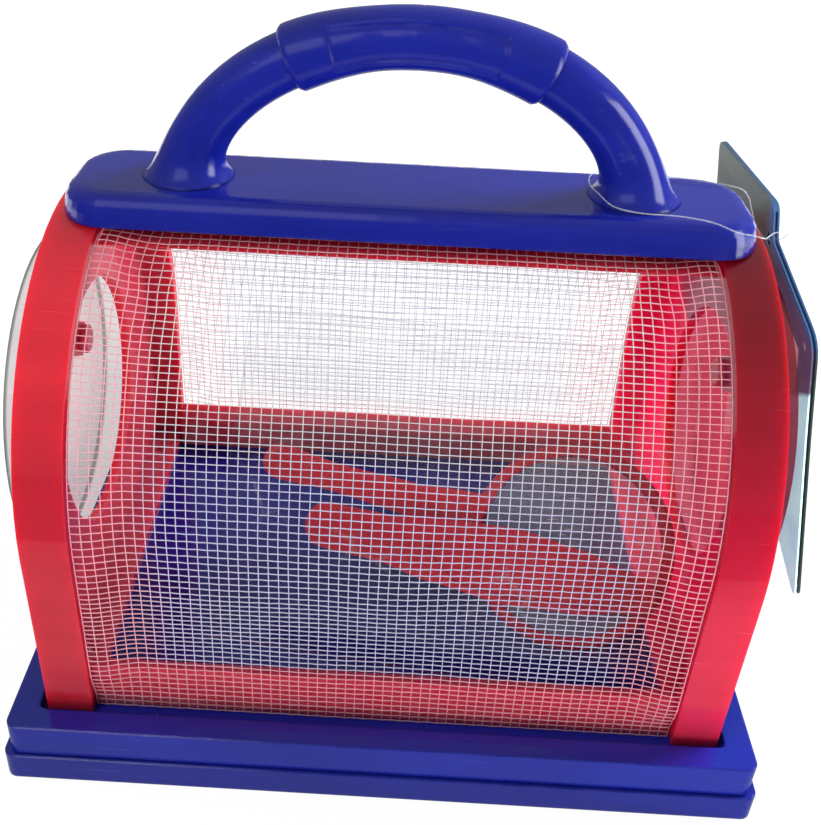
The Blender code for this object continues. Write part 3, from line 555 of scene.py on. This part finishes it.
def make_net(name, side, seed):
    rows, total = net_rows()
    columns = int(round(2 * NET_X / PITCH))
    xs = np.linspace(-NET_X + 0.3, NET_X - 0.3, columns + 1)
    rows = np.array(rows)

    def shifted(x, u):
        """Where a thread crossing ends up once the net is pulled about: x, u and the stand-off from the frame."""
        pts = np.stack([x, u], 1)
        free = smooth01((u - 18.0) / 14.0) * smooth01((total - u) / 10.0)
        held = smooth01((NET_X - np.abs(x)) / 12.0)
        dx = 0.30 * field(pts, 30.0, seed) + 0.04 * field(pts, 6.5, seed + 9)
        du = 0.34 * field(pts, 30.0, seed + 4) + 0.04 * field(pts, 6.0, seed + 15)
        du = du + np.interp(u, SLIP_AT, SLIP) * smooth01((34.0 - x) / 44.0) * (0.75 + 0.5 * field(pts, 40.0, seed + 80))
        pull = np.exp(-(((np.abs(x) - 66.0) / 13.0) ** 2)) * np.exp(-(((u - total + 22.0) / 16.0) ** 2))
        du = du + 1.0 * pull * field(pts, 8.5, seed + 21)
        dx = dx + 0.9 * pull * field(pts, 10.0, seed + 27)
        sag = 0.42 * field(pts, 31.0, seed + 33) * free + 0.55 * pull * field(pts, 12.0, seed + 40)
        sag = sag + 2.3 * smooth01((np.abs(x) - 63.0) / 13.0) * smooth01((u - 2.0) / 12.0) * smooth01((total - u) / 14.0)
        return x + dx * held * (0.35 + 0.65 * free), u + du * smooth01(u / 6.0) * smooth01((total - u) / 10.0), np.maximum(sag, -0.25)

    verts, faces = [], []
    total_count = 0

    def lay(centre, one, two, radius):
        """A tube of four sides along centre, with cross directions one and two."""
        nonlocal total_count
        count = len(centre)
        ring = []
        for k in range(4):
            a = math.pi / 4 + k * math.pi / 2
            ring.append(centre + (one * math.cos(a) + two * math.sin(a)) * radius[:, None])
        verts.append(np.stack(ring, 1).reshape(-1, 3))
        i = np.arange(count - 1)[:, None] * 4 + total_count
        k = np.arange(4)[None, :]
        quad = np.stack([i + k, i + (k + 1) % 4, i + 4 + (k + 1) % 4, i + 4 + k], 2).reshape(-1, 4)
        faces.append(quad)
        last = total_count + (count - 1) * 4
        faces.append(np.array([[total_count + 3, total_count + 2, total_count + 1, total_count], [last, last + 1, last + 2, last + 3]]))
        total_count += count * 4

    def spots(x, u, lift):
        x2, u2, sag = shifted(x, u)
        y, z, cy, cz = net_point(u2)
        out = sag + lift
        p = np.stack([x2, side * (y + out * cy), z + out * cz], 1)
        normal = np.stack([np.zeros_like(x2), side * cy, cz], 1)
        up = np.stack([np.zeros_like(x2), -side * cz, cy], 1)
        return p * MM, normal, up

    across = np.tile(np.array([[1.0, 0.0, 0.0]]), (1, 1))
    # threads that run up: they pass over and under the rows
    mids = (rows[1:] + rows[:-1]) / 2
    run = np.sort(np.concatenate([rows, mids, [0.0, total]]))
    phase = np.zeros(len(run))
    for k, x in enumerate(xs):
        order = np.searchsorted(rows, run + 1e-6)
        on_row = np.isin(run, rows)
        phase = np.where(on_row, np.where((order + k) % 2 == 0, 1.0, -1.0), 0.0)
        p, normal, up = spots(np.full(len(run), x), run, OVER * phase)
        thick = THREAD_R * (1 + 0.10 * field(np.stack([run * 0.7, np.full(len(run), x)], 1), 5.0, seed + 60)) * MM
        lay(p, normal, np.broadcast_to(across, normal.shape), thick)
    # threads that run along
    mids = (xs[1:] + xs[:-1]) / 2
    run = np.sort(np.concatenate([xs, mids]))
    for k, u in enumerate(rows):
        order = np.searchsorted(xs, run + 1e-6)
        on_col = np.isin(run, xs)
        phase = np.where(on_col, np.where((order + k) % 2 == 0, 1.0, -1.0), 0.0)
        p, normal, up = spots(run, np.full(len(run), u), OVER * phase)
        thick = THREAD_R * (1 + 0.10 * field(np.stack([run * 0.7, np.full(len(run), u)], 1), 5.0, seed + 70)) * MM
        lay(p, normal, up, thick)
    verts_all = np.concatenate(verts)
    faces_all = np.concatenate(faces)
    obj = solid("thread_" + name, verts_all, faces_all, THREAD, "house", (name,), shade=0)
    return obj


make_net("net_front", -1, 3.0)
make_net("net_rear", 1, 51.0)

# ------------------------------------------------------------------ handle and grip
BOW_A, BOW_B, BOW_Z = 57.5, 41.8, 139.0
CAP_TOP = 143.65


def bow(phi):
    return np.array([BOW_A * math.cos(phi), 0.0, BOW_Z + BOW_B * math.sin(phi)])


def bow_frame(phi):
    along = np.array([-BOW_A * math.sin(phi), 0.0, BOW_B * math.cos(phi)])
    along /= np.linalg.norm(along)
    out = np.array([along[2], 0.0, -along[0]])
    if out[2] < 0 and math.sin(phi) > 0.3:
        out = -out
    if math.cos(phi) * out[0] < 0:
        out = -out
    return along, out


def loft(rings, closed_ends=True):
    """Faces between rings of equal count, with flat ends."""
    n = len(rings[0])
    faces = []
    for r in range(len(rings) - 1):
        for k in range(n):
            a, b = r * n + k, r * n + (k + 1) % n
            faces.append((a, b, b + n, a + n))
    if closed_ends:
        faces.append(tuple(reversed(range(n))))
        faces.append(tuple(range((len(rings) - 1) * n, len(rings) * n)))
    return np.concatenate(rings), faces


GRIP_LO, GRIP_HI = math.radians(56.2), math.radians(122.4)


def make_handle():
    sides = 40
    rings = []
    low = math.asin((CAP_TOP + 0.02 - BOW_Z) / BOW_B)
    foot = low + (math.radians(20) - low) * np.linspace(0, 1, 26) ** 1.5
    phis = np.concatenate([foot[:-1], np.linspace(math.radians(20), math.radians(160), 108), (math.pi - foot)[::-1][1:]])
    for phi in phis:
        c = bow(phi)
        along, out = bow_frame(phi)
        rise = c[2] - CAP_TOP
        level = float(smooth01(1.0 - rise / 10.0))
        along = along * (1 - level) + np.array([0.0, 0.0, 1.0 if along[2] > 0 else -1.0]) * level
        along /= np.linalg.norm(along)
        out = np.array([abs(along[2]) * (1 if math.cos(phi) > 0 else -1), 0.0, out[2]]) if level > 0 else out
        out = out - along * out.dot(along)
        out /= np.linalg.norm(out)
        radius = 7.1 + 4.9 * math.exp(-max(rise, 0.0) / 4.4)
        deg = math.degrees(phi)
        under = smooth01((deg - 57.5) / 2.0) * smooth01((121.0 - deg) / 2.0)
        radius -= 0.45 * float(under)
        ring = []
        for k in range(sides):
            a = 2 * math.pi * k / sides
            spread = math.cos(a), math.sin(a)
            p = c + out * spread[0] * radius + np.array([0.0, 1.0, 0.0]) * spread[1] * radius
            if p[2] < CAP_TOP + 0.02:
                p[2] = CAP_TOP + 0.02
            ring.append(p * MM)
        rings.append(np.array(ring))
    verts, faces = loft(rings)
    return solid("handle_bow", verts, faces, BLUE, "house", ("carry_handle",), shade=50)


make_handle()


def make_grip():
    """The hand grip: collars at both ends, a gently waisted middle and a sunk panel on the front and the back."""
    sides, bore = 120, 6.72
    count = 190
    outer, inner = [], []
    for i in range(count + 1):
        phi = GRIP_LO + (GRIP_HI - GRIP_LO) * i / count
        deg = math.degrees(phi)
        c = bow(phi)
        along, out = bow_frame(phi)
        end = min(deg - 56.2, 122.4 - deg)
        body_r = 7.55 + 0.85 * float(smooth01((abs(deg - 89.3) - 8.0) / 24.0))
        body_r -= 0.55 * (1 - float(smooth01(end / 1.1)))
        gate = float(smooth01((deg - 69.4) / 0.45) * smooth01((111.2 - deg) / 0.45))
        ring_o, ring_i = [], []
        for k in range(sides):
            a = 2 * math.pi * k / sides
            up, side = math.cos(a), math.sin(a)
            tilt = math.degrees(math.atan2(up, abs(side)))           # 90 on top, 0 at the side, -90 below
            panel = float(smooth01((46.0 - tilt) / 3.0) * smooth01((tilt + 38.0) / 3.0)) * gate
            lip = math.exp(-(((tilt + 44.0) / 3.0) ** 2)) * gate
            part = math.exp(-(((deg - 89.3) / 0.28) ** 2)) * (1 - panel) * 0.5
            r = body_r - 0.66 * panel - 0.16 * lip - 0.12 * part
            dot = math.exp(-(((deg - 89.3) / 0.75) ** 2 + ((tilt - 24.0) / 5.0) ** 2)) * panel
            r += 0.22 * dot
            r = max(r, bore + 0.07)
            ring_o.append((c + out * up * r + np.array([0, 1.0, 0]) * side * r) * MM)
            ring_i.append((c + out * up * bore + np.array([0, 1.0, 0]) * side * bore) * MM)
        outer.append(np.array(ring_o))
        inner.append(np.array(ring_i))
    rings = outer + inner[::-1]
    verts, faces = loft(rings + [outer[0]], closed_ends=False)
    n = sides
    total = len(rings) * n
    verts = verts[:total]
    faces = [tuple(v % total for v in f) for f in faces]
    return solid("grip_shell", verts, faces, BLUE, "house", ("handle_grip",), shade=60)


make_grip()

# ------------------------------------------------------------------ polybag
BAG_LEFT, BAG_TOP = -103.0, 100.0


def bag_right(t):
    return 27.5 + 7.5 * smooth01((t - 4.0) / 12.0) - 0.055 * np.maximum(0.0, t - 16.0)


def bag_depth(t, s, right):
    ends = np.sqrt(np.clip((s - BAG_LEFT) / 8.0, 0, 1) * np.clip((right - s) / 16.0, 0, 1))
    return 0.9 * np.minimum(1.0, t / 3.0) + ends * np.minimum(1.10 * t, 0.42 * (BAG_TOP - t))


def creases(s, t, seed):
    """Sharp folds of thin film: ridges of warped noise at three sizes."""
    out = np.empty(len(s))
    for i, (a, b) in enumerate(zip(s, t)):
        wx = a + 5.0 * noise.noise(Vector((a / 17.0, b / 17.0, seed + 2.0)))
        wy = b + 5.0 * noise.noise(Vector((a / 17.0 + 9.0, b / 17.0, seed + 5.0)))
        v = 1.00 * (0.42 - abs(noise.noise(Vector((wx / 26.0, wy / 21.0, seed)))))
        v += 0.55 * (0.42 - abs(noise.noise(Vector((wx / 11.0, wy / 12.5, seed + 11.0)))))
        v += 0.10 * (0.42 - abs(noise.noise(Vector((wx / 4.6, wy / 5.0, seed + 23.0)))))
        out[i] = v
    return out


def make_bag():
    cols, rows = 150, 104
    ks = np.linspace(0, 1, cols + 1)
    ts = np.linspace(0, 1, rows + 1) ** 0.92 * BAG_TOP
    grid_t, grid_k = np.meshgrid(ts, ks, indexing="ij")
    t, k = grid_t.ravel(), grid_k.ravel()
    right = bag_right(t)
    s = BAG_LEFT + k * (right - BAG_LEFT)
    depth = bag_depth(t, s, right)
    rim = np.minimum(np.minimum(s - BAG_LEFT, right - s) / 7.0, np.minimum(t, BAG_TOP - t) / 6.0)
    rim = smooth01(rim)
    loose = 0.45 + 0.75 * smooth01((t - 62.0) / 26.0) + 0.5 * smooth01((-66.0 - s) / 24.0)
    front = creases(s, t, 2.0) * 0.95 * loose * (0.15 + 0.85 * rim)
    front = np.clip(front, -0.95, 2.2)
    back = -depth - creases(s, t, 41.0) * 1.1 * (0.1 + 0.9 * rim)
    floor_room = (TOOL_FOOT[2] + T_DIR[2] * t - 15.25) / max(N_DIR[2], 1e-6)
    back = np.maximum(back, -floor_room + 0.15)
    back = np.minimum(back, front - 0.25)
    edge = np.minimum(np.minimum(k, 1 - k), np.minimum(t / BAG_TOP, 1 - t / BAG_TOP)) < 1e-6
    mid = (front + back) / 2
    front_n = np.where(edge, np.maximum(mid, -0.4), front)
    back_n = np.where(edge, np.maximum(mid, -0.4), back)
    base = TOOL_FOOT[None, :] + S_DIR[None, :] * s[:, None] + T_DIR[None, :] * t[:, None]
    verts = np.concatenate([base + N_DIR[None, :] * front_n[:, None], base + N_DIR[None, :] * back_n[:, None]]) * MM
    width = cols + 1
    count = (rows + 1) * width
    faces = []
    for r in range(rows):
        for c in range(cols):
            a = r * width + c
            faces.append((a, a + 1, a + width + 1, a + width))
            faces.append((count + a, count + a + width, count + a + width + 1, count + a + 1))
    obj = solid("bag_film", verts, faces, FILM, "tool_pack", ("tool_bag",), shade=0)
    bm = bmesh.new()
    bm.from_mesh(obj.data)
    bmesh.ops.remove_doubles(bm, verts=bm.verts, dist=1e-6)
    bm.to_mesh(obj.data)
    bm.free()
    obj.data.shade_smooth()
    return obj


make_bag()

# ------------------------------------------------------------------ tag loop: one smooth nylon thread
LOOP = ((45.2, -1.0, 146.9), (47.2, -6.4, 146.2), (50.4, -10.4, 144.9), (57.0, -12.7, 144.5), (66.3, -13.2, 144.45), (74.0, -15.2, 144.1),
        (80.0, -16.5, 142.4), (84.3, -15.8, 141.5), (87.7, -13.0, 139.7), (91.0, -5.8, 136.5), (94.4, 1.2, 134.2), (97.0, 4.8, 133.6),
        (99.0, 5.2, 133.5), (101.0, 6.6, 132.8), (101.3, 8.6, 131.2), (101.1, 10.8, 129.2), (99.4, 11.7, 128.6), (96.8, 11.9, 128.9),
        (93.6, 11.4, 132.6), (91.2, 10.4, 137.4), (89.2, 9.7, 141.4), (86.0, 9.5, 143.7), (77.0, 11.0, 144.4), (68.4, 12.9, 144.45),
        (60.0, 12.0, 144.9), (52.0, 10.6, 145.8), (46.9, 6.6, 146.6))


def make_loop():
    pts = [np.array(p) for p in LOOP]
    n = len(pts)
    path = []
    for i in range(n):
        p0, p1, p2, p3 = pts[i - 1], pts[i], pts[(i + 1) % n], pts[(i + 2) % n]
        for j in range(6):
            t = j / 6
            path.append(0.5 * ((2 * p1) + (-p0 + p2) * t + (2 * p0 - 5 * p1 + 4 * p2 - p3) * t * t + (-p0 + 3 * p1 - 3 * p2 + p3) * t ** 3))
    path = np.array(path)
    m, sides = len(path), 8
    rings = []
    tangent = np.roll(path, -1, 0) - np.roll(path, 1, 0)
    tangent /= np.linalg.norm(tangent, axis=1)[:, None]
    for i in range(m):
        ref = np.array([0.0, 0.0, 1.0]) if abs(tangent[i][2]) < 0.85 else np.array([0.0, 1.0, 0.0])
        a = np.cross(tangent[i], ref)
        a /= np.linalg.norm(a)
        b = np.cross(tangent[i], a)
        rings.append([(path[i] + 0.19 * (a * math.cos(2 * math.pi * k / sides) + b * math.sin(2 * math.pi * k / sides))) * MM for k in range(sides)])
    verts = np.array(rings).reshape(-1, 3)
    faces = []
    for i in range(m):
        j = (i + 1) % m
        first, nxt = np.array(rings[i]), np.array(rings[j])
        turn = int(np.argmin([np.abs(first - np.roll(nxt, -q, 0)).sum() for q in range(sides)]))
        for k in range(sides):
            faces.append((i * sides + k, i * sides + (k + 1) % sides, j * sides + (k + 1 + turn) % sides, j * sides + (k + turn) % sides))
    return solid("loop_thread", verts, faces, NYLON, "house", ("tag_loop",), shade=0)


make_loop()

# ------------------------------------------------------------------ studio
pale = Look("studio_floor")
spot = pale.place()
tone = pale.noise(spot, 3.0, 3.0)
reach = pale.add("ShaderNodeVectorMath", {0: spot}, operation="LENGTH").outputs["Value"]
far = pale.band(reach, 0.25, 0.60, 0.22, 1.0)
bright = pale.blend(tone, (0.90, 0.90, 0.905), (0.93, 0.93, 0.93))
pale.set(Base_Color=bright, Roughness=0.6, Emission_Color=(1.0, 1.0, 1.0), Emission_Strength=far)
eye = pale.add("ShaderNodeLightPath", {}).outputs["Is Camera Ray"]
plain_white = pale.add("ShaderNodeEmission", {"Color": (1.04, 1.04, 1.04), "Strength": 1.0})
seen_floor = pale.add("ShaderNodeMixShader", {0: pale.calc("MULTIPLY", eye, 0.85)})
pale.tree.links.new(pale.shader.outputs[0], seen_floor.inputs[1])
pale.tree.links.new(plain_white.outputs[0], seen_floor.inputs[2])
pale.tree.links.new(seen_floor.outputs[0], pale.out.inputs["Surface"])


def ground(name, x, y0, y1, z):
    mesh = bpy.data.meshes.new(name)
    mesh.from_pydata([(-x, y0, z), (x, y0, z), (x, y1, z), (-x, y1, z)], [], [(0, 1, 2, 3)])
    obj = bpy.data.objects.new(name, mesh)
    scene.collection.objects.link(obj)
    mesh.materials.append(pale.mat)
    return obj


# the floor that is seen and that carries the shadow, and the nearer table top that the plastics mirror
ground("floor", 6.0, -6.0, 6.0, -0.0003).visible_glossy = False
table = ground("table_top", 1.6, -0.172, 2.2, -0.0006)
table.visible_camera = table.visible_diffuse = table.visible_transmission = table.visible_shadow = False


def softbox(name, place, aim, size, power, mirrored=True, colour=(1, 1, 1)):
    data = bpy.data.lights.new(name, "AREA")
    data.shape = "RECTANGLE"
    data.size, data.size_y = size
    data.energy = power
    data.color = colour
    obj = bpy.data.objects.new(name, data)
    scene.collection.objects.link(obj)
    way = Vector(aim) - Vector(place)
    obj.visible_glossy = mirrored
    obj.matrix_world = Matrix.Translation(place) @ way.to_track_quat("-Z", "Y").to_matrix().to_4x4()
    return obj


def lights_only(lamp, names, leave_out=False):
    """The lamp reaches only the named nodes, or all but them."""
    group = bpy.data.collections.new("lit_by_" + lamp.name)
    for name in names:
        group.objects.link(nodes.get(name) or bpy.data.objects[name])
    if leave_out:
        for entry in group.collection_objects:
            entry.light_linking.link_state = "EXCLUDE"
    else:
        lamp.light_linking.blocker_collection = group
    lamp.light_linking.receiver_collection = group


key = softbox("key", (-0.45, -0.42, 0.60), (-0.03, -0.03, 0.08), (0.40, 0.40), 2.7, mirrored=False)
lights_only(key, ("end_frame_right",), leave_out=True)
softbox("low_front", (0.40, -0.60, 0.05), (0.06, -0.06, 0.04), (0.30, 0.12), 2.2, mirrored=False)
window = softbox("right_window", (0.58, 0.28, 0.46), (0.07, 0.0, 0.09), (0.35, 0.35), 11.0, mirrored=False, colour=(0.86, 0.93, 1.0))
lights_only(window, ("end_frame_right",), leave_out=True)


def panel(name, place, aim, size, power):
    """A panel that is only seen mirrored in the plastics."""
    obj = softbox(name, place, aim, size, power)
    obj.visible_diffuse = obj.visible_transmission = obj.visible_camera = False
    return obj


blue_pieces = ("base_plinth", "base_tray", "roof_cap", "handle_bow", "grip_shell")
lights_only(panel("front_panel", (-0.30, -0.75, 0.66), (-0.05, -0.05, 0.06), (0.60, 0.40), 0.8), blue_pieces[2:])
lights_only(panel("base_panel", (-0.36, -0.77, 0.62), (-0.08, -0.07, 0.02), (0.42, 0.42), 6.0), blue_pieces[:2])
lights_only(panel("right_panel", (0.72, -0.16, 0.24), (0.05, 0.0, 0.14), (0.32, 0.60), 4.2), blue_pieces)
tag_light = softbox("tag_light", (-0.10, -0.50, 0.30), (0.10, 0.0, 0.09), (0.30, 0.30), 6.2, mirrored=False)
lights_only(tag_light, ("hang_tag",))
# light that has come through the red end wall from outside
glow = softbox("wall_glow", (0.040, 0.026, 0.040), (0.090, 0.016, 0.050), (0.05, 0.05), 0.055, mirrored=False, colour=(0.9, 0.22, 1.0))
lights_only(glow, ("end_frame_right",))

world = bpy.data.worlds.new("studio")
scene.world = world
world.use_nodes = True
wt = world.node_tree


def wnode(kind, inputs, **props):
    node = wt.nodes.new(kind)
    for key, value in props.items():
        setattr(node, key, value)
    for key, value in inputs.items():
        if isinstance(value, bpy.types.NodeSocket):
            wt.links.new(value, node.inputs[key])
        else:
            node.inputs[key].default_value = value
    return node.outputs[0]


way = wt.nodes.new("ShaderNodeTexCoord").outputs["Generated"]
split = wt.nodes.new("ShaderNodeSeparateXYZ")
wt.links.new(way, split.inputs[0])
rear = wnode("ShaderNodeMapRange", {0: split.outputs["Y"], 1: -0.25, 2: 0.75, 3: 0.0, 4: 0.13})
high = wnode("ShaderNodeMapRange", {0: split.outputs["Z"], 1: 0.1, 2: 0.95, 3: 0.16, 4: 0.36})
glow = wnode("ShaderNodeMath", {0: rear, 1: high}, operation="ADD")
above = wnode("ShaderNodeMapRange", {0: split.outputs["Z"], 1: -0.03, 2: 0.03, 3: 0.0, 4: 1.0})
glow = wnode("ShaderNodeMath", {0: glow, 1: above}, operation="MULTIPLY")
glow = wnode("ShaderNodeMath", {0: glow, 1: 0.05}, operation="ADD")
seen = wt.nodes.new("ShaderNodeLightPath").outputs["Is Camera Ray"]
glow = wnode("ShaderNodeMix", {0: seen, 2: glow, 3: 1.0}, data_type="FLOAT")
wt.links.new(glow, wt.nodes["Background"].inputs["Strength"])
wt.nodes["Background"].inputs["Color"].default_value = (1.0, 1.0, 1.0, 1.0)

scene.view_settings.view_transform = "Standard"
scene.view_settings.look = "None"

# ------------------------------------------------------------------ update
bpy.context.view_layer.update()
